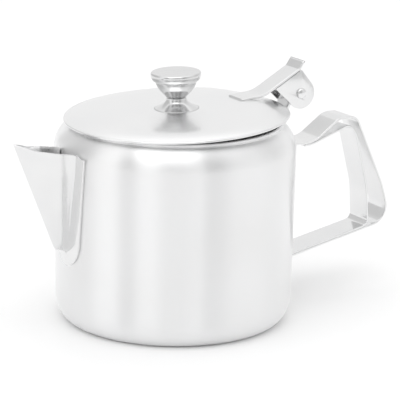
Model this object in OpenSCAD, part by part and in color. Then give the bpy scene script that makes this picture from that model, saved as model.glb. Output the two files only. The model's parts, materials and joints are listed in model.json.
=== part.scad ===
// Stainless steel teapot with a folded spout, a double strap handle and a hinged lid.
// Origin: centre of the flat base. +Z is up, the spout points to -X, the handle and the hinge to +X.

/* [Pot body] */
// Outer radius of the wall where the shoulder begins
body_r = 58; // [50:0.5:70]
// How much narrower the wall is just above the base corner
wall_draft = 0.7; // [0:0.1:2]
// Width of the rounded base corner
base_corner_r = 6.9; // [4:0.1:12]
// Height of the rounded base corner
base_corner_h = 12; // [6:0.5:16]
// Height at which the wall turns into the shoulder
shoulder_z = 83.5; // [75:0.5:110]
// Radius of the rounded shoulder
shoulder_r = 13.5; // [10:0.5:16]
// How far the mouth lies in from the wall
mouth_inset = 6.3; // [5:0.1:9]
// Height of the short neck above the shoulder
neck_h = 0.8; // [0.4:0.1:2]
// Thickness of the pot's sheet
body_t = 0.8; // [0.6:0.1:1.2]
// Radius of the bead rolled round the mouth
bead_r = 0.8; // [0.6:0.1:1.2]

/* [Spout] */
// How far the spout's tip stands out from the wall
spout_reach = 27.6; // [18:0.1:33]
// Height of the spout's tip above the shoulder
spout_tip_rise = 9.8; // [2:0.1:14]
// Height at which the spout's ridge meets its foot
spout_foot_z = 40.5; // [32:0.5:50]
// How far the ridge stands out from the wall at its foot
spout_foot_reach = 6.6; // [3:0.1:8]
// Half width of the spout where its open top meets the wall
spout_half_w = 10; // [7:0.5:13]
// Half width of the flange at its top
flange_half_w = 15; // [13:0.5:20]
// Height of the flange's lowest point
flange_foot_z = 32.2; // [24:0.2:40]
// Height of the flange's top edge above the shoulder
flange_top_rise = 2.5; // [1:0.5:4]
// Thickness of the spout's sheet
spout_t = 0.9; // [0.7:0.1:1.2]
// Radius of a strainer hole
strainer_r = 1.4; // [1:0.1:1.8]
// Distance between rows of strainer holes
strainer_pitch = 4.2; // [3.8:0.1:6]

/* [Handle] */
// Width of the handle's straps
strap_w = 15.2; // [12:0.2:18]
// Thickness of the handle's straps
strap_t = 1; // [0.8:0.1:1.4]
// How far the handle's upper root lies under the shoulder
upper_root_drop = 4.3; // [2:0.1:10]
// Height at which the lower run reaches the wall
lower_root_z = 20.2; // [16:0.2:26]
// Rise of the lower run, in degrees
lower_rise = 11.2; // [8:0.1:16]
// How far the handle stands out from the wall
handle_reach = 63; // [50:0.2:76]
// Height of the handle's crest above its upper root
crest_rise = 10.7; // [7:0.1:14]

/* [Lid] */
// How far the lid overhangs the mouth
lid_overhang = 2.5; // [1.5:0.1:4]
// Rise of the lid's top above its rim
lid_rise = 3.3; // [2:0.1:4]
// Thickness of the lid's sheet
lid_t = 0.8; // [0.6:0.1:1.2]
// Radius of the lid's rolled rim
lid_rim_r = 0.6; // [0.5:0.05:0.9]
// Tilt at which the closed lid rests, with its hinge side the higher
lid_tilt = 2.49; // [0:0.01:3]
// Gap between the lid's rim and the mouth's bead at the spout side
lid_seat_gap = 0.15; // [0.1:0.05:0.5]

/* [Knob] */
// Radius of the knob's cap
knob_r = 12.1; // [9:0.1:16]
// Height of the knob above the lid
knob_h = 17.7; // [14:0.1:24]
// Radius of the knob's collar
collar_r = 10.8; // [8:0.1:14]
// Radius of the knob's waist
waist_r = 4.8; // [4.4:0.1:6]
// Radius of the knob's screw
screw_r = 2; // [1.5:0.1:2.5]

/* [Hinge] */
// How far the hinge pin stands out from the wall
pin_reach = 9.2; // [8:0.1:12]
// Height of the hinge pin above the mouth
pin_rise = 7.1; // [5:0.1:11]
// Radius of the hinge pin
pin_r = 2; // [1.5:0.1:2.4]
// Running clearance of the pin in the post's knuckle
pin_gap = 0.05; // [0.02:0.01:0.09]
// Width of the lid's strap
lid_strap_w = 12; // [9:0.2:14]
// Thickness of the lid's strap
lid_strap_t = 1.2; // [1:0.1:1.6]
// Rise of the lid's strap, in degrees
lid_strap_rise = 29.4; // [24:0.1:36]
// Distance between the outer faces of the bracket's ears
bracket_w = 13.2; // [12:0.2:16]
// Thickness of the bracket's sheet
bracket_t = 1.2; // [1:0.1:1.6]
// Radius of the ears round the pin
ear_r = 7.5; // [5.5:0.1:8]
// Gap between an ear and the knuckle
ear_gap = 0.3; // [0.2:0.05:0.6]
// Thickness of the hinge post's sheet
post_t = 1.2; // [1:0.1:1.6]
// Outer radius of the post's knuckle
knuckle_r = 4; // [3.2:0.1:4.6]

/* [Hidden] */
$fn = 96;
steel = [0.86, 0.87, 0.88];
bright_steel = [0.92, 0.93, 0.94];

arc_step = 6;
far = 200;

// Shape of the pot's outline
wall_foot_r = body_r - wall_draft;
base_r = wall_foot_r - base_corner_r;
mouth_r = body_r - mouth_inset;
shoulder_centre_r = body_r - shoulder_r;
mouth_turn = acos((mouth_r - body_t / 2 - shoulder_centre_r) / shoulder_r);
mouth_z = shoulder_z + shoulder_r * sin(mouth_turn);
bead_z = mouth_z + neck_h;
bead_centre_r = mouth_r - bead_r;
bead_top_z = bead_z + bead_r;

// Place of the lid. Its frame stands on the underside of its rim, and it rests on the neck's bead.
lid_x = 0.6;
lid_r = mouth_r + lid_overhang;
lid_top = lid_rim_r + lid_rise;
lid_roundness = 8;
lid_seat_r = bead_centre_r + lid_x;
lid_seat_h = lid_top - lid_t - lid_rise * pow(lid_seat_r / lid_r, lid_roundness);
lid_z = bead_top_z + lid_seat_gap - lid_seat_h + lid_seat_r * tan(lid_tilt);
lid_hole_r = screw_r + 0.2;

// Shape of the spout
spout_tip_x = -(body_r + spout_reach);
spout_tip_z = shoulder_z + spout_tip_rise;
flange_top_z = shoulder_z + flange_top_rise;
spout_foot_x = -(body_r + spout_foot_reach);
spout_lean = atan((spout_foot_x - spout_tip_x) / (spout_tip_z - spout_foot_z));
spout_open = 0.8;
spout_edge = atan(spout_open / cos(spout_lean));
spout_foot_half_w = 1.2;
spout_flare = (spout_half_w - spout_foot_half_w) / (flange_top_z - spout_foot_z);
spout_wall_z = flange_top_z + 1.5;
spout_dip_x = spout_tip_x + 9;
spout_dip_z = spout_tip_z - 3;
spout_foot_drop = 2;
flange_corner_z = flange_foot_z + 14;
flange_corner_half_w = flange_half_w - 4;
strainer_first_z = spout_foot_z + 14;
strainer_last_z = flange_top_z - 8;
strainer_edge = 0.5;

// Shape of the handle
upper_root_z = shoulder_z - upper_root_drop;
crest_z = upper_root_z + crest_rise;
tab_x = body_r + post_t + strap_t;
tab_end_z = upper_root_z + 8;
lower_tab_h = 7.5;
lower_tab_x = wall_foot_r + strap_t;
handle_x = body_r + handle_reach;
crest_slope = 35;
crest_start_x = body_r + 32;
root_turn_x = crest_start_x - (crest_z - upper_root_z) / tan(crest_slope);
back_slope = 65;
back_foot_slope = 73;
back_top_x = handle_x - 20.6;
back_mid_x = handle_x - 3;
back_mid_z = crest_z - (back_mid_x - back_top_x) * tan(back_slope);
back_corner_r = 9.8;
inner_rise = 19;
inner_bend_r = 14;
inner_start_x = root_turn_x - 1.2;
inner_crest_x = crest_start_x + 6.5;
inner_crest_z = upper_root_z - strap_t + (inner_crest_x - inner_start_x) * tan(inner_rise);
inner_back_x = handle_x - 12.4;
inner_back_z = crest_z - 38;
inner_foot_slope = 86;
inner_corner_r = 4.5;

// Hinge
pin_x = body_r + pin_reach;
pin_z = bead_top_z + pin_rise;
strap_root_x = lid_r - 21;
strap_sink = lid_rise * pow((strap_root_x - lid_x) / lid_r, lid_roundness) + 0.1;
strap_bend_r = 18;
tab_len = 5;
tab_slope = 56;
strap_top_x = pin_x - 0.6;
strap_line_z = pin_z + 11.5;
pin_bore_r = pin_r + pin_gap;
ear_fit = 0.02;
ear_bore_r = pin_r - ear_fit;
rivet_r = 2.65;
rivet_h = 1.3;
knuckle_w = bracket_w - 2 * bracket_t - 2 * ear_gap;
bracket_overrun = 0.6;
bracket_len = 16.6;
post_foot_z = shoulder_z - 14;
post_jog = 1.8;
post_jog_z = shoulder_z + 5;
post_bend_z = pin_z - 7.5;

// Knob, in the lid's frame
knob_t = 0.8;
collar_h = 5.2;
collar_flare = 2.2;
groove_h = 0.4;
groove_depth = 0.8;
boss_r = waist_r - groove_depth;
boss_h = 4.5;
bowl_z = lid_top + collar_h + groove_h;
bowl_flare = 1.65;
bowl_r = knob_r - 2.2;
cap_h = 4.4;
cap_z = lid_top + knob_h - cap_h;
cap_edge_h = 3.3;
cap_flat_r = knob_r - 0.8;
bowl_h = cap_z - bowl_z;
knob_steps = 14;
washer_r = 5;
washer_t = 0.8;
screw_head_r = 3.8;
screw_head_h = 1.8;
thread_fit = 0.03;
screw_top_z = bowl_z + 3.5;
under_lid_z = lid_top - lid_t;

// ---------- outlines ----------

// Points of an arc from angle a to angle b
function arc(cx, cy, r, a, b) =
    let (n = max(1, ceil(abs(b - a) / arc_step)))
    [for (i = [0 : n]) [cx + r * cos(a + (b - a) * i / n), cy + r * sin(a + (b - a) * i / n)]];

// Quarter of an ellipse from the flat base up to the wall
function base_corner(r, rise, side) =
    [for (a = [0 : arc_step : 90]) [r + side * sin(a), rise - rise * cos(a)]];

// Direction of b seen from a, in degrees
function heading(a, b) = atan2(b[1] - a[1], b[0] - a[0]);

// Turn from heading p to heading q, between -180 and 180 degrees
function turn(p, q) = let (t = q - p) t > 180 ? t - 360 : t < -180 ? t + 360 : t;

// Round of radius c[2] that replaces corner c between its neighbours a and b
function rounded_corner(a, c, b) =
    let (p = heading(a, c), q = heading(c, b), t = turn(p, q), side = t > 0 ? 1 : -1,
        cut = c[2] * tan(abs(t) / 2),
        start = [c[0] - cut * cos(p), c[1] - cut * sin(p)],
        centre = [start[0] - side * c[2] * sin(p), start[1] + side * c[2] * cos(p)],
        first = p - side * 90)
    arc(centre[0], centre[1], c[2], first, first + t);

// Line through corners [x, z, radius], with every inner corner rounded
function rounded_line(c) =
    [for (i = [0 : len(c) - 1])
        each (i == 0 || i == len(c) - 1) ? [[c[i][0], c[i][1]]]
            : rounded_corner(c[i - 1], c[i], c[i + 1])];

// Left normal of line p at point i
function normal_at(p, i) =
    let (a = p[max(0, i - 1)], b = p[min(len(p) - 1, i + 1)], h = heading(a, b)) [-sin(h), cos(h)];

// Line p moved to its left by d
function moved(p, d) = [for (i = [0 : len(p) - 1]) p[i] + d * normal_at(p, i)];

// Closed outline of a strip of thickness t on the left of line p
function strip(p, t) = let (m = moved(p, t)) concat(p, [for (i = [len(m) - 1 : -1 : 0]) m[i]]);

// Extrudes an outline drawn in X and Z across width w, centred on the plane of symmetry
module across(w) {
    rotate([90, 0, 0])
        linear_extrude(height = w, center = true)
            children();
}

// Places the lid's own frame
module on_lid() {
    translate([lid_x, 0, lid_z])
        rotate([0, -lid_tilt, 0])
            children();
}

// Outer outline of the pot, grown by g
function pot_side(g) = concat(
    [[0, -g]],
    base_corner(base_r, base_corner_h, base_corner_r + g),
    arc(shoulder_centre_r, shoulder_z, shoulder_r + g, 0, mouth_turn));

// Solid bounded by the outside of the pot, grown by g
module pot_outside(g) {
    rotate_extrude()
        polygon(concat(pot_side(g), [[0, mouth_z]]));
}

// ---------- pot ----------

function spout_half_at(z) = spout_foot_half_w + (z - spout_foot_z) * spout_flare;

module strainer_holes() {
    for (row = [0 : floor((strainer_last_z - strainer_first_z) / strainer_pitch)]) {
        z = strainer_first_z + row * strainer_pitch;
        room = spout_half_at(z) - spout_t - strainer_r - strainer_edge;
        shift = row % 2 == 0 ? 0 : strainer_pitch / 2;
        for (k = [-3 : 3]) {
            y = k * strainer_pitch + shift;
            if (abs(y) <= room)
                translate([-body_r - 2, y, z])
                    rotate([0, 90, 0])
                        cylinder(h = 8, r = strainer_r, $fn = 32);
        }
    }
}

module pot_body() {
    inner_r = shoulder_r - body_t;
    mouth_in_r = shoulder_centre_r + inner_r * cos(mouth_turn);
    color(steel)
    difference() {
        rotate_extrude() {
            difference() {
                polygon(concat(pot_side(0), [[0, mouth_z]]));
                polygon(concat(
                    [[0, body_t]],
                    [for (p = base_corner(base_r, base_corner_h, base_corner_r - body_t))
                        [p[0], p[1] + body_t * (1 - p[1] / base_corner_h)]],
                    arc(shoulder_centre_r, shoulder_z, inner_r, 0, mouth_turn),
                    [[mouth_in_r, mouth_z + 1], [0, mouth_z + 1]]));
            }
            translate([bead_centre_r - body_t / 2, mouth_z - body_t / 2])
                square([body_t, neck_h + body_t / 2]);
            translate([bead_centre_r, bead_z])
                circle(r = bead_r, $fn = 32);
        }
        strainer_holes();
    }
}

// ---------- spout ----------

// Space inside the folded spout, drawn in by g and raised at its open top by top
module spout_core(g, top) {
    intersection() {
        across(far)
            polygon([
                [spout_tip_x, spout_tip_z + top],
                [spout_dip_x, spout_dip_z + top],
                [-body_r, spout_wall_z + top],
                [0, spout_wall_z + top],
                [0, spout_foot_z - spout_foot_drop + g],
                [-body_r, spout_foot_z - spout_foot_drop + g],
                [spout_foot_x, spout_foot_z + g]]);
        translate([spout_foot_x, 0, spout_foot_z])
            rotate([0, -spout_lean, 0])
                translate([g / sin(spout_edge), 0, -far])
                    linear_extrude(height = 2 * far)
                        polygon([
                            [0, 0],
                            [far, far * tan(spout_edge)],
                            [far, -far * tan(spout_edge)]]);
        rotate([90, 0, -90])
            linear_extrude(height = far)
                polygon([
                    [spout_foot_half_w - g, 0],
                    [spout_foot_half_w - g, spout_foot_z],
                    [spout_half_at(far) - g, far],
                    [g - spout_half_at(far), far],
                    [g - spout_foot_half_w, spout_foot_z],
                    [g - spout_foot_half_w, 0]]);
    }
}

// Outline of the flange that lies on the wall, seen along X
module flange_outline() {
    tip_r = flange_corner_half_w;
    polygon(concat(
        [[flange_half_w, flange_top_z], [-flange_half_w, flange_top_z]],
        [for (a = [180 : arc_step : 360])
            [tip_r * cos(a), flange_corner_z + (flange_corner_z - flange_foot_z) * sin(a)]]));
}

module spout() {
    color(steel)
    difference() {
        union() {
            spout_core(0, 0);
            intersection() {
                rotate([90, 0, -90])
                    linear_extrude(height = far)
                        flange_outline();
                union() {
                    pot_outside(spout_t);
                    translate([0, 0, shoulder_z])
                        cylinder(h = flange_top_z - shoulder_z + 1, r = body_r + spout_t);
                }
            }
        }
        spout_core(spout_t, 20);
        pot_outside(0);
        translate([0, 0, shoulder_z])
            cylinder(h = far, r = body_r);
    }
}

// ---------- handle ----------

function lower_run_z(x) = lower_root_z + (x - body_r) * tan(lower_rise);

// Where a line falling at slope from point (x, z) meets the lower run raised by lift
function foot_x(x, z, slope, lift) =
    (z + x * tan(slope) - lower_run_z(0) - lift) / (tan(slope) + tan(lower_rise));

module handle_outer_strap() {
    foot = foot_x(back_mid_x, back_mid_z, back_foot_slope, 0);
    face = rounded_line([
        [tab_x, tab_end_z],
        [tab_x, upper_root_z, 6],
        [root_turn_x, upper_root_z, 12],
        [crest_start_x, crest_z, 9],
        [back_top_x, crest_z, 7],
        [back_mid_x, back_mid_z, 40],
        [foot, lower_run_z(foot), back_corner_r],
        [lower_tab_x, lower_run_z(lower_tab_x), 3],
        [lower_tab_x, lower_run_z(lower_tab_x) - lower_tab_h]]);
    color(steel)
    difference() {
        across(strap_w)
            polygon(strip(face, -strap_t));
        pot_outside(0);
    }
}

module handle_inner_strap() {
    lift = strap_t / cos(lower_rise);
    foot = foot_x(inner_back_x, inner_back_z, inner_foot_slope, lift);
    face = rounded_line([
        [inner_start_x - 4, upper_root_z - strap_t],
        [inner_start_x, upper_root_z - strap_t, inner_bend_r],
        [inner_crest_x, inner_crest_z, 5],
        [inner_crest_x + 4.4, inner_crest_z - 5.7, 12],
        [inner_back_x, inner_back_z, 40],
        [foot, lower_run_z(foot) + lift, inner_corner_r],
        [0, lower_run_z(0) + lift]]);
    color(steel)
    difference() {
        across(strap_w)
            polygon(strip(face, -strap_t));
        pot_outside(0);
    }
}

// ---------- hinge ----------

module hinge_post() {
    leaf_x = body_r + post_t + post_jog;
    leaf = rounded_line([
        [body_r + post_t, post_foot_z],
        [body_r + post_t, post_jog_z, 3],
        [leaf_x, post_jog_z + 2 * post_jog, 3],
        [leaf_x, post_bend_z, 4],
        [pin_x - knuckle_r + post_t, pin_z]]);
    color(steel)
    difference() {
        union() {
            across(knuckle_w)
                polygon(strip(leaf, post_t));
            translate([pin_x, knuckle_w / 2, pin_z])
                rotate([90, 0, 0])
                    cylinder(h = knuckle_w, r = knuckle_r);
        }
        pot_outside(0);
        translate([pin_x, far / 2, pin_z])
            rotate([90, 0, 0])
                cylinder(h = far, r = pin_bore_r);
    }
}

// Height of the lid's flat top along the line of symmetry
function lid_face_z(x) = lid_z + lid_top / cos(lid_tilt) + (x - lid_x) * tan(lid_tilt);

// Underside of the lid's strap
strap_foot_x = strap_top_x - (strap_line_z - lid_face_z(strap_top_x) + strap_sink)
    / (tan(lid_strap_rise) - tan(lid_tilt));
strap_under = rounded_line([
    [strap_root_x, lid_face_z(strap_root_x) - strap_sink],
    [strap_foot_x, lid_face_z(strap_foot_x) - strap_sink, strap_bend_r],
    [strap_top_x, strap_line_z, 3],
    [strap_top_x + tab_len * cos(tab_slope), strap_line_z + tab_len * sin(tab_slope)]]);

module lid_strap() {
    color(steel)
    difference() {
        across(lid_strap_w)
            polygon(strip(strap_under, lid_strap_t));
        on_lid()
            lid_outside();
    }
}

// Point where a line from p touches the circle of radius r round c, on the given side
function touch(c, r, p, side) =
    let (a = heading(c, p) + side * acos(r / norm(p - c)))
    [c[0] + r * cos(a), c[1] + r * sin(a)];

// Point at distance s down the strap's slope and g below its underside
function below_strap(s, g) = [
    strap_top_x - s * cos(lid_strap_rise) + g * sin(lid_strap_rise),
    strap_line_z - s * sin(lid_strap_rise) - g * cos(lid_strap_rise)];

web_rear = below_strap(-bracket_overrun, 0);
web_front = below_strap(bracket_len - bracket_overrun, 0);
pin_at = [pin_x, pin_z];

module hinge_bracket() {
    color(steel)
    difference() {
        union() {
            for (side = [-1, 1])
                translate([0, side * (bracket_w - bracket_t) / 2, 0])
                    across(bracket_t)
                        union() {
                            translate(pin_at)
                                circle(r = ear_r);
                            polygon([
                                pin_at,
                                touch(pin_at, ear_r, web_rear, -1),
                                web_rear,
                                web_front,
                                touch(pin_at, ear_r, web_front, 1)]);
                        }
            across(bracket_w)
                polygon([
                    web_rear,
                    web_front,
                    below_strap(bracket_len - bracket_overrun, bracket_t),
                    below_strap(-bracket_overrun, bracket_t)]);
        }
        translate([pin_x, far / 2, pin_z])
            rotate([90, 0, 0])
                cylinder(h = far, r = ear_bore_r);
    }
}

module hinge_pin() {
    half = bracket_w / 2;
    color(bright_steel)
    translate([pin_x, 0, pin_z])
        rotate([90, 0, 0])
            rotate_extrude()
                polygon(concat(
                    [for (a = [-90 : arc_step : 0])
                        [rivet_r * cos(a), rivet_h * sin(a) - half]],
                    [[pin_r, -half], [pin_r, half]],
                    [for (a = [0 : arc_step : 90])
                        [rivet_r * cos(a), rivet_h * sin(a) + half]]));
}

// ---------- lid ----------

lid_edge_r = lid_r - lid_rim_r;
lid_steps = 24;

// Top of the lid, from its middle to its rim, moved down by g
function lid_line(g) = [for (i = [0 : lid_steps])
    let (r = lid_edge_r * sin(90 * i / lid_steps))
    [r, lid_rim_r + lid_rise * (1 - pow(r / lid_r, lid_roundness)) - g]];

// Solid under the top of the lid
module lid_outside() {
    rotate_extrude()
        polygon(concat(lid_line(0), [[lid_edge_r, 0], [0, 0]]));
}

module lid() {
    under = lid_line(lid_t);
    color(steel)
    on_lid()
        difference() {
            union() {
                rotate_extrude()
                    polygon(concat(lid_line(0), [for (i = [lid_steps : -1 : 0]) under[i]]));
                rotate_extrude()
                    translate([lid_edge_r, lid_rim_r])
                        circle(r = lid_rim_r, $fn = 32);
            }
            translate([0, 0, -1])
                cylinder(h = 10, r = lid_hole_r);
        }
}

// ---------- knob ----------

// Outline of the collar, moved down by g
function collar_line(g) = [for (i = [0 : knob_steps])
    let (t = i / knob_steps)
    [waist_r + (collar_r - waist_r) * pow(1 - t, collar_flare), collar_h * t - g]];

module knob_collar() {
    color(steel)
    on_lid()
        translate([0, 0, lid_top])
            difference() {
                rotate_extrude()
                    polygon(concat([[0, 0]], collar_line(0), [[0, collar_h]]));
                rotate_extrude()
                    polygon(concat([[0, -knob_t]], collar_line(knob_t), [[0, collar_h - knob_t]]));
                cylinder(h = far, r = lid_hole_r);
            }
}

// Outline of the bowl, raised by g
function bowl_line(g, r) = [for (i = [0 : knob_steps])
    let (t = i / knob_steps)
    [r + (bowl_r - waist_r) * (1 - pow(1 - t, bowl_flare)), bowl_h * t + g]];

module knob_bowl() {
    color(steel)
    on_lid()
        translate([0, 0, bowl_z])
            difference() {
                union() {
                    difference() {
                        rotate_extrude()
                            polygon(concat([[0, 0]], bowl_line(0, waist_r), [[0, bowl_h]]));
                        rotate_extrude()
                            polygon(concat([[0, knob_t]], bowl_line(knob_t, waist_r - knob_t),
                                [[0, bowl_h + knob_t]]));
                    }
                    translate([0, 0, -groove_h])
                        cylinder(h = boss_h + groove_h, r = boss_r);
                }
                translate([0, 0, -far / 2])
                    cylinder(h = far, r = screw_r - thread_fit);
            }
}

module knob_cap() {
    color(steel)
    on_lid()
        translate([0, 0, cap_z])
            rotate_extrude()
                difference() {
                    polygon(concat(
                        [[0, 0]],
                        [for (a = [-90 : arc_step : 0])
                            [bowl_r + (knob_r - bowl_r) * cos(a), cap_edge_h * (1 + sin(a))]],
                        [for (a = [arc_step : arc_step : 90])
                            [cap_flat_r + (knob_r - cap_flat_r) * cos(a),
                                cap_edge_h + (cap_h - cap_edge_h) * sin(a)]],
                        [[0, cap_h]]));
                    translate([0, -1])
                        square([bowl_r - knob_t, cap_h - knob_t + 1]);
                }
}

module knob_screw() {
    color(bright_steel)
    on_lid()
        union() {
            translate([0, 0, under_lid_z - washer_t - screw_head_h])
                cylinder(h = screw_head_h, r = screw_head_r);
            translate([0, 0, under_lid_z - washer_t])
                cylinder(h = screw_top_z - under_lid_z + washer_t, r = screw_r);
        }
}

module knob_washer() {
    color(bright_steel)
    on_lid()
        translate([0, 0, under_lid_z - washer_t])
            difference() {
                cylinder(h = washer_t, r = washer_r);
                translate([0, 0, -1])
                    cylinder(h = washer_t + 2, r = lid_hole_r);
            }
}

pot_body();
spout();
handle_outer_strap();
handle_inner_strap();
hinge_post();
lid();
lid_strap();
hinge_bracket();
hinge_pin();
knob_cap();
knob_bowl();
knob_collar();
knob_screw();
knob_washer();
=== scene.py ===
import json
import math

import bmesh
import bpy
from mathutils import Matrix, Vector


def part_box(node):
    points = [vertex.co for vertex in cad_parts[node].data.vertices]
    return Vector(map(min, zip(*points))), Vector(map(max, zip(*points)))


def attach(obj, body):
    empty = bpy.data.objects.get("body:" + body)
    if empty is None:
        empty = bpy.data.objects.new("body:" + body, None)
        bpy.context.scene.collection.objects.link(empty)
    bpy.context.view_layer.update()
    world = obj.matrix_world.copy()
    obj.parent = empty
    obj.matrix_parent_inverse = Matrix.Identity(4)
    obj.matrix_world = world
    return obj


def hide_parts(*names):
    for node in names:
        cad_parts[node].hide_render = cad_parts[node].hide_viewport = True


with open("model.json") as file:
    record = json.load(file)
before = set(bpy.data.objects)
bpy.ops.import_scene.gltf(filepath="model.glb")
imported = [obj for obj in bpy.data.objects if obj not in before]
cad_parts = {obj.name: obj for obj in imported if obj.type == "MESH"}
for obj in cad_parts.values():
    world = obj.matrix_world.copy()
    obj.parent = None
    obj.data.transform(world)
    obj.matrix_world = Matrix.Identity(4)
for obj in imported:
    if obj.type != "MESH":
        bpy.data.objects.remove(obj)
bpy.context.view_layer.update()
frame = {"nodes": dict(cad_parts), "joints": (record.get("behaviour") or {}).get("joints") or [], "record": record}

MM = 0.001
TURN = 256  # segments round a lathed piece

# ---------- sizes, in millimetres ----------


def box_mm(node):
    low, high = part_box(node)
    return Vector(low) / MM, Vector(high) / MM


pot_high = box_mm("pot_body")[1]
wall_r = pot_high.x
pot_top = pot_high.z
pin = Vector(frame["joints"][0]["pos_m"]) / MM

sheet = 0.8
neck_h = 0.8
shoulder_r = 13.5
mouth_r = 51.7
base_r = 50.4
base_wall_r = 57.3
base_corner_h = 12
mouth_bead_r = 0.8
shoulder_turn = math.acos((mouth_r - sheet / 2 - (wall_r - shoulder_r)) / shoulder_r)
shoulder_z = pot_top - mouth_bead_r - neck_h - shoulder_r * math.sin(shoulder_turn)

lid_r = 54.2
lid_tilt = math.radians(2.49)
lid_rim_r = 0.6
lid_rise = 3.3
lid_roundness = 8
lid_top = lid_rim_r + lid_rise
lid_x = 0.6
lid_base_z = 98.245
lid_bend_x = 39  # behind this line the lid dips towards the hinge
lid_bend = 0.06  # slope of that dip
lid_bend_soft = 0.6
lid_hole_r = 2.2

knob_r = 12.1
knob_h = 17.7
collar_r = 10.8
collar_h = 5.2
collar_flare = 2.2
waist_r = 4.8
groove_h = 0.4
cap_h = 4.4
cap_edge_h = 3.3
bowl_r = knob_r - 2.2
bowl_flare = 1.65

# ---------- outlines ----------


def arc(cx, cz, r, first, last, step=3.0):
    n = max(1, math.ceil(abs(last - first) / step))
    out = []
    for i in range(n + 1):
        a = math.radians(first + (last - first) * i / n)
        out.append((cx + r * math.cos(a), cz + r * math.sin(a)))
    return out


def rounded_line(corners, step=3.0):
    """Points of a line through corners (x, z, radius), each inner corner replaced by an arc."""
    out = [corners[0][:2]]
    for before, at, after in zip(corners, corners[1:], corners[2:]):
        p = math.atan2(at[1] - before[1], at[0] - before[0])
        q = math.atan2(after[1] - at[1], after[0] - at[0])
        t = (q - p + math.pi) % (2 * math.pi) - math.pi
        side = 1 if t > 0 else -1
        cut = at[2] * math.tan(abs(t) / 2)
        start = (at[0] - cut * math.cos(p), at[1] - cut * math.sin(p))
        centre = (start[0] - side * at[2] * math.sin(p), start[1] + side * at[2] * math.cos(p))
        first = math.degrees(p) - side * 90
        out += arc(centre[0], centre[1], at[2], first, first + math.degrees(t), step)
    out.append(corners[-1][:2])
    return out


def resampled(points, longest):
    """The same line with no stretch longer than longest."""
    out = [points[0]]
    for a, b in zip(points, points[1:]):
        n = max(1, math.ceil(math.dist(a, b) / longest))
        out += [(a[0] + (b[0] - a[0]) * i / n, a[1] + (b[1] - a[1]) * i / n) for i in range(1, n + 1)]
    return out


# ---------- building meshes ----------


def new_object(name, verts, faces, smooth=True):
    mesh = bpy.data.meshes.new(name)
    mesh.from_pydata([Vector(v) * MM for v in verts], [], faces)
    mesh.validate()
    tidy = bmesh.new()
    tidy.from_mesh(mesh)
    bmesh.ops.remove_doubles(tidy, verts=tidy.verts, dist=1e-7)
    bmesh.ops.recalc_face_normals(tidy, faces=tidy.faces)
    tidy.to_mesh(mesh)
    tidy.free()
    mesh.polygons.foreach_set("use_smooth", [smooth] * len(mesh.polygons))
    obj = bpy.data.objects.new(name, mesh)
    bpy.context.scene.collection.objects.link(obj)
    return obj


def lathe(name, profile, segments=TURN, closed=True):
    """Turns an outline of (r, z) round the Z axis. Points on the axis become one vertex."""
    verts, rings = [], []
    for r, z in profile:
        if r < 1e-6:
            verts.append((0, 0, z))
            rings.append([len(verts) - 1] * segments)
            continue
        ring = []
        for s in range(segments):
            a = 2 * math.pi * s / segments
            verts.append((r * math.cos(a), r * math.sin(a), z))
            ring.append(len(verts) - 1)
        rings.append(ring)
    faces = []
    pairs = list(zip(rings, rings[1:]))
    if closed:
        pairs.append((rings[-1], rings[0]))
    for low, high in pairs:
        for s in range(segments):
            t = (s + 1) % segments
            face = []
            for v in (low[s], low[t], high[t], high[s]):
                if v not in face:
                    face.append(v)
            if len(face) > 2:
                faces.append(face)
    return new_object(name, verts, faces)


def strip(name, line, width, thick, edge=0.28):
    """A strip of sheet whose outer face follows line (x, z), with rounded long edges."""
    half = width / 2
    section = []
    for sy, sz in ((1, 0), (1, -1), (-1, -1), (-1, 0)):
        cy = sy * (half - edge)
        cz = -edge if sz == 0 else edge - thick
        first = {(1, 0): 90, (1, -1): 0, (-1, -1): -90, (-1, 0): 180}[(sy, sz)]
        turns = [math.radians(first - k * 22.5) for k in range(5)]
        corner = [(cy + edge * math.cos(a), cz + edge * math.sin(a)) for a in turns]
        inset = 0.12  # an extra point beside each rounded corner keeps the flats flat
        if (sy, sz) in ((1, 0), (-1, -1)):
            corner.insert(0, (corner[0][0] - sy * inset, corner[0][1]))
        else:
            corner.append((corner[-1][0] - sy * inset, corner[-1][1]))
        section += corner
    verts, faces = [], []
    n = len(section)
    for i, (x, z) in enumerate(line):
        a, b = line[max(0, i - 1)], line[min(len(line) - 1, i + 1)]
        h = math.atan2(b[1] - a[1], b[0] - a[0])
        normal = (-math.sin(h), math.cos(h))
        for y, d in section:
            verts.append((x + normal[0] * d, y, z + normal[1] * d))
    for i in range(len(line) - 1):
        for k in range(n):
            m = (k + 1) % n
            faces.append((i * n + k, i * n + m, (i + 1) * n + m, (i + 1) * n + k))
    last = (len(line) - 1) * n
    faces.append(tuple(range(n)))
    faces.append(tuple(last + k for k in reversed(range(n))))
    obj = new_object(name, verts, faces)
    for p in obj.data.polygons:
        if len(p.vertices) > 4:
            p.use_smooth = False
    return obj


def place(obj, body, *nodes):
    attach(obj, body)
    if nodes:
        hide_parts(*nodes)
    return obj


# ---------- materials ----------


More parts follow.
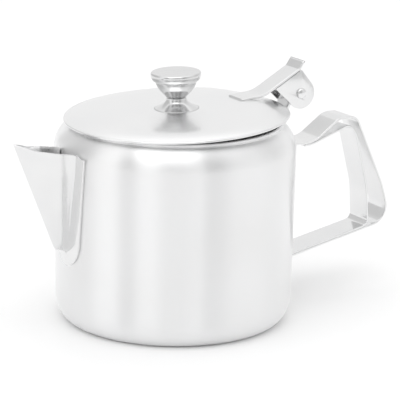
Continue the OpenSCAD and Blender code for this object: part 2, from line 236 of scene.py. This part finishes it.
def steel(name, tone, rough, wave, wave_size, grain=0.0, brushed=0.0):
    """Polished steel: a mirror with slight unevenness in its tone, its gloss and its surface.
    brushed is the pull of the fine lines that polishing on a lathe leaves round the pot."""
    mat = bpy.data.materials.new(name)
    mat.use_nodes = True
    nodes, links = mat.node_tree.nodes, mat.node_tree.links
    shader = nodes["Principled BSDF"]
    shader.inputs["Metallic"].default_value = 1.0
    place_at = nodes.new("ShaderNodeTexCoord")
    cloud = nodes.new("ShaderNodeTexNoise")
    cloud.inputs["Scale"].default_value = wave_size
    cloud.inputs["Detail"].default_value = 3.0
    links.new(place_at.outputs["Object"], cloud.inputs["Vector"])
    colour = nodes.new("ShaderNodeValToRGB")
    colour.color_ramp.elements[0].position = 0.3
    colour.color_ramp.elements[0].color = (tone * 0.965, tone * 0.967, tone * 0.972, 1)
    colour.color_ramp.elements[1].position = 0.7
    colour.color_ramp.elements[1].color = (tone, tone, tone, 1)
    links.new(cloud.outputs["Fac"], colour.inputs["Fac"])
    links.new(colour.outputs["Color"], shader.inputs["Base Color"])
    gloss = nodes.new("ShaderNodeMapRange")
    gloss.inputs["To Min"].default_value = rough * 0.8
    gloss.inputs["To Max"].default_value = rough * 1.25
    links.new(cloud.outputs["Fac"], gloss.inputs["Value"])
    links.new(gloss.outputs["Result"], shader.inputs["Roughness"])
    dent = nodes.new("ShaderNodeTexNoise")
    dent.inputs["Scale"].default_value = wave_size * 0.6
    dent.inputs["Detail"].default_value = 1.0
    links.new(place_at.outputs["Object"], dent.inputs["Vector"])
    bump = nodes.new("ShaderNodeBump")
    bump.inputs["Strength"].default_value = wave
    bump.inputs["Distance"].default_value = 0.001
    links.new(dent.outputs["Fac"], bump.inputs["Height"])
    links.new(bump.outputs["Normal"], shader.inputs["Normal"])
    if brushed:
        round_pot = nodes.new("ShaderNodeTangent")
        round_pot.direction_type = "RADIAL"
        round_pot.axis = "Z"
        links.new(round_pot.outputs["Tangent"], shader.inputs["Tangent"])
        shader.inputs["Anisotropic"].default_value = brushed
        shader.inputs["Anisotropic Rotation"].default_value = 0.25
    if grain:
        fine = nodes.new("ShaderNodeTexNoise")
        fine.inputs["Scale"].default_value = 2500.0
        links.new(place_at.outputs["Object"], fine.inputs["Vector"])
        second = nodes.new("ShaderNodeBump")
        second.inputs["Strength"].default_value = grain
        second.inputs["Distance"].default_value = 0.0001
        links.new(fine.outputs["Fac"], second.inputs["Height"])
        links.new(bump.outputs["Normal"], second.inputs["Normal"])
        links.new(second.outputs["Normal"], shader.inputs["Normal"])
    return mat


materials = {
    "polished_body": steel("polished_body", 0.95, 0.33, 0.02, 30, 0.0, 1.0),
    "polished_spout": steel("polished_spout", 0.81, 0.17, 0.25, 90, 0.1),
    "polished_strap": steel("polished_strap", 0.82, 0.16, 0.12, 70, 0.1),
    "polished_lid": steel("polished_lid", 0.87, 0.24, 0.03, 30),
    # the knob's lower tone is painted shade: it darkens the knob towards the dark look its bowl has from
    # reflecting the lid
    "polished_knob": steel("polished_knob", 0.72, 0.17, 0.03, 60),
    "rivet_steel": steel("rivet_steel", 0.84, 0.2, 0.1, 90, 0.2),
}
slots = {s["node"]: s["material_slot"] for s in frame["record"]["subparts"]}
for node, obj in frame["nodes"].items():
    obj.data.materials.clear()
    obj.data.materials.append(materials[slots[node]])


def finish_piece(obj, body, *nodes):
    slot_name = slots[nodes[0]]
    obj.data.materials.append(materials[slot_name])
    return place(obj, body, *nodes)


# ---------- pot ----------


def pot_line(inset):
    """The pot's outline from the middle of the base to the mouth, drawn in by inset."""
    corner_r = base_wall_r - base_r - inset
    rise = base_corner_h - inset
    corner = [
        (base_r + corner_r * math.sin(math.radians(a)), base_corner_h - rise * math.cos(math.radians(a)))
        for a in range(0, 91, 3)
    ]
    centre_r = wall_r - shoulder_r
    turn = math.degrees(shoulder_turn)
    wall = [(corner[-1][0] + (wall_r - inset - corner[-1][0]) * k / 8,
             base_corner_h + (shoulder_z - base_corner_h) * k / 8) for k in range(1, 8)]
    return corner + wall + arc(centre_r, shoulder_z, shoulder_r - inset, 0, turn, 2.5)


outer_line, inner_line = pot_line(0), pot_line(sheet)
mouth_z = outer_line[-1][1]
bead = arc(mouth_r - mouth_bead_r, mouth_z + neck_h, mouth_bead_r, -50, 230, 14)
pot = lathe("pot_shell", [(0, 0)] + outer_line + bead + inner_line[::-1] + [(0, sheet)])
finish_piece(pot, "pot", "pot_body")

# ---------- spout ----------

wall_draft = 0.7
spout_t = 0.9
spout_reach, spout_tip_rise = 27.6, 9.8
tip_x, tip_z = wall_r + spout_reach, shoulder_z + spout_tip_rise
foot_z, foot_reach, foot_half_w = 40.5, 6.6, 1.2
flange_top_z, flange_foot_z = shoulder_z + 2.5, 32.2
flange_side_w = 4.0
rim_lift = 1.5  # how far the open top's edge stands above the flange at the wall
lip_len, lip_drop = 9.0, 3.0  # the pouring lip beyond the rim's lowest point
flange_half_w, flange_corner_z = 15.0, 46.2
top_half_w = 10.0
ridge_r = 1.6
flute_h = 0.5


def wall_at(z):
    """Radius of the wall at height z."""
    return wall_r - wall_draft * max(0.0, (shoulder_z - z) / (shoulder_z - base_corner_h))


def smooth(t):
    t = min(1.0, max(0.0, t))
    return t * t * (3 - 2 * t)


def ridge_reach(z):
    """How far the ridge stands out from the wall at height z."""
    slope = (tip_x - wall_r - foot_reach) / (tip_z - foot_z)
    line = foot_reach + (z - foot_z) * slope
    return max(0.0, line) * smooth((z - foot_z + 2.4) / 3.4)


def half_width(z):
    slope = (top_half_w - foot_half_w) / (flange_top_z - foot_z)
    return max(foot_half_w, foot_half_w + (z - foot_z) * slope)


def flange_edge(z):
    if z < flange_corner_z:
        below = (flange_corner_z - z) / (flange_corner_z - flange_foot_z)
        return (flange_half_w - flange_side_w) * math.sqrt(max(0.0, 1 - below * below))
    above = (z - flange_corner_z) / (flange_top_z - flange_corner_z)
    return flange_half_w - flange_side_w + flange_side_w * above


def rim_z(reach):
    """Height of the open top's edge at a distance from the wall."""
    wall_z, dip, dip_z = flange_top_z + rim_lift, tip_x - wall_r - lip_len, tip_z - lip_drop
    if reach < dip:
        return wall_z + (dip_z - wall_z) * reach / dip
    return dip_z + (tip_z - dip_z) * (reach - dip) / lip_len


def lean(d, half):
    """How far the side has spread, as a share of half, at a distance d from the rounded ridge."""
    return math.tanh(0.8 * math.sqrt(d * d + 2 * ridge_r * d) / half)


def side_point(u, z):
    """Point of the folded side: u is 0 at the bend beside the wall and 1 at the ridge."""
    reach = ridge_reach(z)
    half = min(half_width(z), 0.6 * flange_edge(z))
    x0 = math.sqrt((wall_at(z) + spout_t) ** 2 - half * half)
    if reach < 0.01:
        y = half * (1 - u)
        return (-math.sqrt((wall_at(z) + spout_t) ** 2 - y * y), y, z)
    s = reach * (1 - u)
    y = half * lean(s, half) / lean(reach, half)
    wave = math.sin(math.pi * 4 * (1 - u)) * math.sin(math.pi * u)
    y += flute_h * wave * smooth((z - foot_z) / 30)
    return (-(x0 + (max(wall_at(z) + spout_t, wall_r + reach) - x0) * u), y, z)


def spout_sheet(name):
    side_steps, flange_steps, rows = 26, 7, 56
    columns = []
    for k in range(flange_steps):
        columns.append(("flange", 1 - k / flange_steps))
    for k in range(side_steps + 1):
        columns.append(("side", 1 - (1 - k / side_steps) ** 1.7))
    verts, width = [], None
    for i in range(rows + 1):
        t = (i / rows) ** 1.25
        right_half = []
        for kind, q in columns:
            if kind == "side":
                top = tip_z
                for _ in range(8):
                    top = rim_z(ridge_reach(top) * q)
            else:
                top = flange_top_z + rim_lift * (1 - q) ** 3
            z = flange_foot_z + (top - flange_foot_z) * t
            if kind == "side":
                right_half.append(side_point(q, z))
            else:
                half = min(half_width(z), 0.6 * flange_edge(z))
                y = half + (flange_edge(z) - half) * q
                right_half.append((-math.sqrt((wall_at(z) + spout_t) ** 2 - y * y), y, z))
        ring = right_half + [(x, -y, z) for x, y, z in reversed(right_half[:-1])]
        width = len(ring)
        verts += ring
    faces = []
    for i in range(rows):
        for j in range(width - 1):
            a = i * width + j
            faces.append((a, a + 1, a + 1 + width, a + width))
    obj = new_object(name, verts, faces)
    solid = obj.modifiers.new("sheet", "SOLIDIFY")
    solid.thickness = spout_t * 0.93 * MM
    solid.offset = -1 if sum(p.normal.x for p in obj.data.polygons) < 0 else 1
    solid.use_even_offset = False
    ease = obj.modifiers.new("edges", "BEVEL")
    ease.width = 0.3 * MM
    ease.segments = 2
    ease.limit_method = "ANGLE"
    ease.angle_limit = math.radians(40)
    return obj


finish_piece(spout_sheet("folded_spout"), "pot", "spout")

# ---------- strainer holes ----------

strainer_r, strainer_pitch = 1.4, 4.2
across_wall = Matrix.Rotation(math.pi / 2, 4, "Y")
cutters = bmesh.new()
row = 0
z = foot_z + 14
while z <= flange_top_z - 8:
    room = half_width(z) - spout_t - strainer_r - 0.5
    shift = strainer_pitch / 2 if row % 2 else 0
    for k in range(-3, 4):
        y = k * strainer_pitch + shift
        if abs(y) <= room:
            bmesh.ops.create_cone(
                cutters, cap_ends=True, segments=24,
                radius1=strainer_r * MM, radius2=strainer_r * MM, depth=8 * MM,
                matrix=Matrix.Translation(Vector((-wall_r, y, z)) * MM) @ across_wall,
            )
    z += strainer_pitch
    row += 1
cutter_mesh = bpy.data.meshes.new("strainer_cutter")
cutters.to_mesh(cutter_mesh)
cutters.free()
cutter = bpy.data.objects.new("strainer_cutter", cutter_mesh)
bpy.context.scene.collection.objects.link(cutter)
punch = pot.modifiers.new("strainer", "BOOLEAN")
punch.object = cutter
punch.operation = "DIFFERENCE"
punch.solver = "EXACT"
bpy.context.view_layer.update()
punched = bpy.data.meshes.new_from_object(pot.evaluated_get(bpy.context.evaluated_depsgraph_get()))
pot.modifiers.clear()
pot.data = punched
bpy.data.objects.remove(cutter)

# ---------- lid ----------

lid_frame = Matrix.Translation(Vector((lid_x, 0, lid_base_z)) * MM) @ Matrix.Rotation(-lid_tilt, 4, "Y")


def lid_z(r):
    return lid_rim_r + lid_rise * (1 - (r / lid_r) ** lid_roundness)


def on_lid(obj, lift=0.0):
    obj.data.transform(lid_frame @ Matrix.Translation((0, 0, lift * MM)))
    return obj


edge_r = lid_r - lid_rim_r
steps = 48
radii = [edge_r * math.sin(math.pi / 2 * i / steps) for i in range(steps + 1)]
radii = [r for r in radii if lid_hole_r + 0.1 < r < edge_r - 0.35]
lid = lathe(
    "lid_sheet",
    [(lid_hole_r, lid_z(lid_hole_r))] + [(r, lid_z(r)) for r in radii]
    + arc(edge_r, lid_rim_r, lid_rim_r, 115, -150, 15)
    + [(r, lid_z(r) - sheet) for r in reversed(radii)]
    + [(lid_hole_r, lid_z(lid_hole_r) - sheet)],
    384,
)
for v in lid.data.vertices:
    over = v.co.x / MM - (lid_bend_x - lid_x)
    v.co.z -= lid_bend * (over + math.hypot(over, lid_bend_soft)) / 2 * MM
finish_piece(on_lid(lid), "lid_group", "lid")

# ---------- knob ----------

knob_steps = [t / 24 for t in range(25)]
collar_pts = [(waist_r + (collar_r - waist_r) * (1 - t) ** collar_flare, collar_h * t) for t in knob_steps]
collar = lathe("knob_flare", [(3.0, 0.3)] + collar_pts + [(3.0, collar_h)])
finish_piece(on_lid(collar, lid_top), "lid_group", "knob_collar")

bowl_h = knob_h - cap_h - collar_h - groove_h
bowl_pts = [(waist_r + (bowl_r - waist_r) * (1 - (1 - t) ** bowl_flare), bowl_h * t) for t in knob_steps]
bowl = lathe(
    "knob_cup",
    [(2.1, -groove_h), (waist_r - 0.8, -groove_h), (waist_r - 0.8, 0)] + bowl_pts
    + [(bowl_r - sheet, bowl_h), (2.1, 2.0)],
)
finish_piece(on_lid(bowl, lid_top + collar_h + groove_h), "lid_group", "knob_bowl")

cap_flat_r = knob_r - 0.8
cap_pts = [
    (bowl_r + (knob_r - bowl_r) * math.cos(math.radians(a)), cap_edge_h * (1 + math.sin(math.radians(a))))
    for a in range(-90, 1, 6)
] + [
    (cap_flat_r + (knob_r - cap_flat_r) * math.cos(math.radians(a)),
     cap_edge_h + (cap_h - cap_edge_h) * math.sin(math.radians(a)))
    for a in range(9, 91, 9)
]
cap = lathe(
    "knob_top",
    [(bowl_r - sheet, 0)] + cap_pts
    + [(cap_flat_r - 0.3, cap_h), (0, cap_h), (0, cap_h - sheet), (bowl_r - sheet, cap_h - sheet)],
)
finish_piece(on_lid(cap, lid_top + knob_h - cap_h), "lid_group", "knob_cap")

# ---------- handle ----------

strap_w, strap_t, post_t = 15.2, 1.0, 1.2
upper_tab_h, lower_tab_h = 8.0, 7.5  # the strap's ends that lie on the post and on the wall
upper_root_drop, crest_rise = 4.3, 10.7
upper_root_z = shoulder_z - upper_root_drop
crest_z = upper_root_z + crest_rise
lower_root_z = 20.2
handle_reach = 63
lower_angle = math.radians(11.2)
lower_rise = math.tan(lower_angle)
handle_x = wall_r + handle_reach
tab_x = wall_r + post_t + strap_t
lower_tab_x = base_wall_r + strap_t
crest_slope = math.tan(math.radians(35))
back_slope = math.tan(math.radians(65))
back_foot_slope = math.tan(math.radians(73))
crest_start_x = wall_r + 32
root_turn_x = crest_start_x - (crest_z - upper_root_z) / crest_slope
back_top_x = handle_x - 20.6
back_mid_x = handle_x - 3
back_mid_z = crest_z - (back_mid_x - back_top_x) * back_slope


def lower_run_z(x):
    return lower_root_z + (x - wall_r) * lower_rise


def foot_x(x, z, slope, lift):
    return (z + x * slope - lower_run_z(0) - lift) / (slope + lower_rise)


foot = foot_x(back_mid_x, back_mid_z, back_foot_slope, 0)
outer_path = rounded_line([
    (tab_x, upper_root_z + upper_tab_h),
    (tab_x, upper_root_z, 6),
    (root_turn_x, upper_root_z, 12),
    (crest_start_x, crest_z, 9),
    (back_top_x, crest_z, 7),
    (back_mid_x, back_mid_z, 40),
    (foot, lower_run_z(foot), 9.8),
    (lower_tab_x, lower_run_z(lower_tab_x), 3),
    (lower_tab_x, lower_run_z(lower_tab_x) - lower_tab_h),
])
outer_strap = strip("outer_strap", resampled(outer_path, 4), strap_w, strap_t)
finish_piece(outer_strap, "pot", "handle_outer_strap")

inner_rise = math.tan(math.radians(19))
inner_start_x = root_turn_x - 1.2
inner_crest_x = crest_start_x + 6.5
inner_crest_z = upper_root_z - strap_t + (inner_crest_x - inner_start_x) * inner_rise
inner_back_x, inner_back_z = handle_x - 12.4, crest_z - 38
lift = strap_t / math.cos(lower_angle)
foot = foot_x(inner_back_x, inner_back_z, math.tan(math.radians(86)), lift)
inner_end_x = wall_r - 0.3
inner_path = rounded_line([
    (inner_start_x - 4, upper_root_z - strap_t),
    (inner_start_x, upper_root_z - strap_t, 14),
    (inner_crest_x, inner_crest_z, 5),
    (inner_crest_x + 4.4, inner_crest_z - 5.7, 12),
    (inner_back_x, inner_back_z, 40),
    (foot, lower_run_z(foot) + lift, 4.5),
    (inner_end_x, lower_run_z(inner_end_x) + lift),
])
inner_strap = strip("inner_strap", resampled(inner_path, 4), strap_w, strap_t)
finish_piece(inner_strap, "pot", "handle_inner_strap")

# ---------- lid strap ----------

strap_angle = math.radians(29.4)
lid_strap_w, lid_strap_t = 12, 1.2
strap_top_x, strap_line_z = pin.x - 0.6, pin.z + 11.5
strap_root_x = lid_r - 21
strap_sink = lid_rise * ((strap_root_x - lid_x) / lid_r) ** lid_roundness + 0.1
root_taper, root_taper_len = 0.5, 7.0


def lid_face_z(x):
    return lid_base_z + lid_top / math.cos(lid_tilt) + (x - lid_x) * math.tan(lid_tilt)


strap_foot_x = strap_top_x - (strap_line_z - lid_face_z(strap_top_x) + strap_sink) / (
    math.tan(strap_angle) - math.tan(lid_tilt)
)
tab_angle, tab_len = math.radians(56), 5.0
under_path = rounded_line([
    (strap_root_x, lid_face_z(strap_root_x) - strap_sink),
    (strap_foot_x, lid_face_z(strap_foot_x) - strap_sink, 18),
    (strap_top_x, strap_line_z, 3),
    (strap_top_x + tab_len * math.cos(tab_angle), strap_line_z + tab_len * math.sin(tab_angle)),
])
top_path = []
for i, (x, z) in enumerate(under_path):
    a, b = under_path[max(0, i - 1)], under_path[min(len(under_path) - 1, i + 1)]
    h = math.atan2(b[1] - a[1], b[0] - a[0])
    top_path.append((x - math.sin(h) * lid_strap_t, z + math.cos(h) * lid_strap_t))
top_path = resampled(top_path, 1.5)
top_path = [(x, z - root_taper * (1 - smooth((x - strap_root_x) / root_taper_len))) for x, z in top_path]
thumb_strap = strip("thumb_strap", top_path, lid_strap_w, lid_strap_t, 0.35)
finish_piece(thumb_strap, "lid_group", "lid_strap")

# ---------- hinge: the CAD shapes with their edges eased ----------


def eased(name, node, body, width, segments=2):
    source = frame["nodes"][node]
    obj = bpy.data.objects.new(name, source.data.copy())
    obj.data.materials.clear()
    bpy.context.scene.collection.objects.link(obj)
    tidy = bmesh.new()
    tidy.from_mesh(obj.data)
    bmesh.ops.remove_doubles(tidy, verts=tidy.verts, dist=1e-6)
    bmesh.ops.dissolve_limit(tidy, angle_limit=math.radians(0.5), verts=tidy.verts, edges=tidy.edges)
    tidy.to_mesh(obj.data)
    tidy.free()
    obj.data.polygons.foreach_set("use_smooth", [True] * len(obj.data.polygons))
    bevel = obj.modifiers.new("edges", "BEVEL")
    bevel.width = width * MM
    bevel.segments = segments
    bevel.limit_method = "ANGLE"
    bevel.angle_limit = math.radians(35)
    bevel.harden_normals = True
    return finish_piece(obj, body, node)


eased("bracket_u", "hinge_bracket", "lid_group", 0.3)
eased("rivet", "hinge_pin", "lid_group", 0.15)
eased("post_leaf", "hinge_post", "pot", 0.25)

# ---------- camera, floor and light ----------

CAMERA_TURN = math.radians(31)
CAMERA_RISE = math.radians(15.22)
CAMERA_ROLL = math.radians(1.04)
CAMERA_FAR = 993.89
CAMERA_LENS = 185.26
look_at = Vector((0, 0, 50))
right = Vector((math.cos(CAMERA_TURN), -math.sin(CAMERA_TURN), 0))
ahead = Vector((
    math.sin(CAMERA_TURN) * math.cos(CAMERA_RISE),
    math.cos(CAMERA_TURN) * math.cos(CAMERA_RISE),
    -math.sin(CAMERA_RISE),
))
up = right.cross(ahead)
spot = look_at + 12.27 * right + 6.65 * up - CAMERA_FAR * ahead
camera = bpy.data.objects.new("camera", bpy.data.cameras.new("camera"))
bpy.context.scene.collection.objects.link(camera)
bpy.context.scene.camera = camera
camera.data.sensor_width = 36
camera.data.lens = CAMERA_LENS
camera.data.clip_end = 50
rolled = Matrix((right, up, -ahead)).transposed() @ Matrix.Rotation(CAMERA_ROLL, 3, "Z")
camera.matrix_world = Matrix.Translation(spot * MM) @ rolled.to_4x4()


def plain(name, grey):
    mat = bpy.data.materials.new(name)
    mat.use_nodes = True
    shader = mat.node_tree.nodes["Principled BSDF"]
    shader.inputs["Base Color"].default_value = (grey, grey, grey, 1)
    shader.inputs["Roughness"].default_value = 0.9
    return mat


floor_mesh = bpy.data.meshes.new("floor")
side = 4.0
floor_corners = [(-side, -side, 0), (side, -side, 0), (side, side, 0), (-side, side, 0)]
floor_mesh.from_pydata(floor_corners, [], [(0, 1, 2, 3)])
floor = bpy.data.objects.new("floor", floor_mesh)
bpy.context.scene.collection.objects.link(floor)
floor.location.z = -0.0002
floor_mesh.materials.append(plain("floor_white", 0.97))
bpy.context.scene.view_settings.view_transform = "Standard"


def studio_sky(stops, low, high, overhead):
    """A soft studio all round. stops are (degrees from -Y toward +X, brightness) near the horizon.
    They blend into the brightness overhead where the direction's rise goes from low to high."""
    world = bpy.data.worlds.new("studio")
    bpy.context.scene.world = world
    world.use_nodes = True
    nodes, links = world.node_tree.nodes, world.node_tree.links
    where = nodes.new("ShaderNodeTexCoord")
    split = nodes.new("ShaderNodeSeparateXYZ")
    links.new(where.outputs["Generated"], split.inputs["Vector"])
    back = nodes.new("ShaderNodeMath")
    back.operation = "MULTIPLY"
    back.inputs[1].default_value = -1
    links.new(split.outputs["Y"], back.inputs[0])
    angle = nodes.new("ShaderNodeMath")
    angle.operation = "ARCTAN2"
    links.new(split.outputs["X"], angle.inputs[0])
    links.new(back.outputs[0], angle.inputs[1])
    share = nodes.new("ShaderNodeMapRange")
    share.inputs["From Min"].default_value = -math.pi
    share.inputs["From Max"].default_value = math.pi
    links.new(angle.outputs[0], share.inputs["Value"])
    ring = nodes.new("ShaderNodeValToRGB")
    ramp = ring.color_ramp
    while len(ramp.elements) < len(stops):
        ramp.elements.new(0.5)
    for element, (degrees, value) in zip(ramp.elements, stops):
        element.position = (degrees + 180) / 360
        element.color = (value, value, value, 1)
    links.new(share.outputs["Result"], ring.inputs["Fac"])
    rise = nodes.new("ShaderNodeMapRange")
    rise.interpolation_type = "SMOOTHSTEP"
    rise.inputs["From Min"].default_value = low
    rise.inputs["From Max"].default_value = high
    links.new(split.outputs["Z"], rise.inputs["Value"])
    mix = nodes.new("ShaderNodeMix")
    mix.data_type = "RGBA"
    mix.inputs["B"].default_value = (overhead, overhead, overhead, 1)
    links.new(rise.outputs["Result"], mix.inputs["Factor"])
    links.new(ring.outputs["Color"], mix.inputs["A"])
    links.new(mix.outputs["Result"], nodes["Background"].inputs["Color"])
    nodes["Background"].inputs["Strength"].default_value = 1.0


BANDS_TURN = -31  # the bands are counted in degrees from the camera's side
bands = [
    (-150, 0.95), (-102, 0.7), (-88, 0.75), (-74, 1.15), (-57, 1.1), (-50, 0.5),
    (-38, 0.45), (-33, 0.85), (-20, 0.9), (-9, 0.55), (8, 0.5), (26, 0.8),
    (33, 0.4), (45, 0.45), (60, 0.8), (90, 0.9), (110, 0.75), (150, 0.95),
]
stops = sorted(((d + BANDS_TURN + 180) % 360 - 180, v) for d, v in bands)
stops = [(-180, stops[0][1])] + stops + [(180, stops[0][1])]
studio_sky(stops, 0.55, 0.9, 1.25)


def lamp(name, at, size, power):
    data = bpy.data.lights.new(name, "AREA")
    data.shape = "SQUARE"
    data.size = size
    data.energy = power
    obj = bpy.data.objects.new(name, data)
    bpy.context.scene.collection.objects.link(obj)
    obj.location = at
    obj.rotation_mode = "QUATERNION"
    obj.rotation_quaternion = (Vector((0, 0, 0.05)) - Vector(at)).to_track_quat("-Z", "Y")
    return obj


lamp("overhead", (-0.45, -0.45, 1.4), 1.2, 3.6)
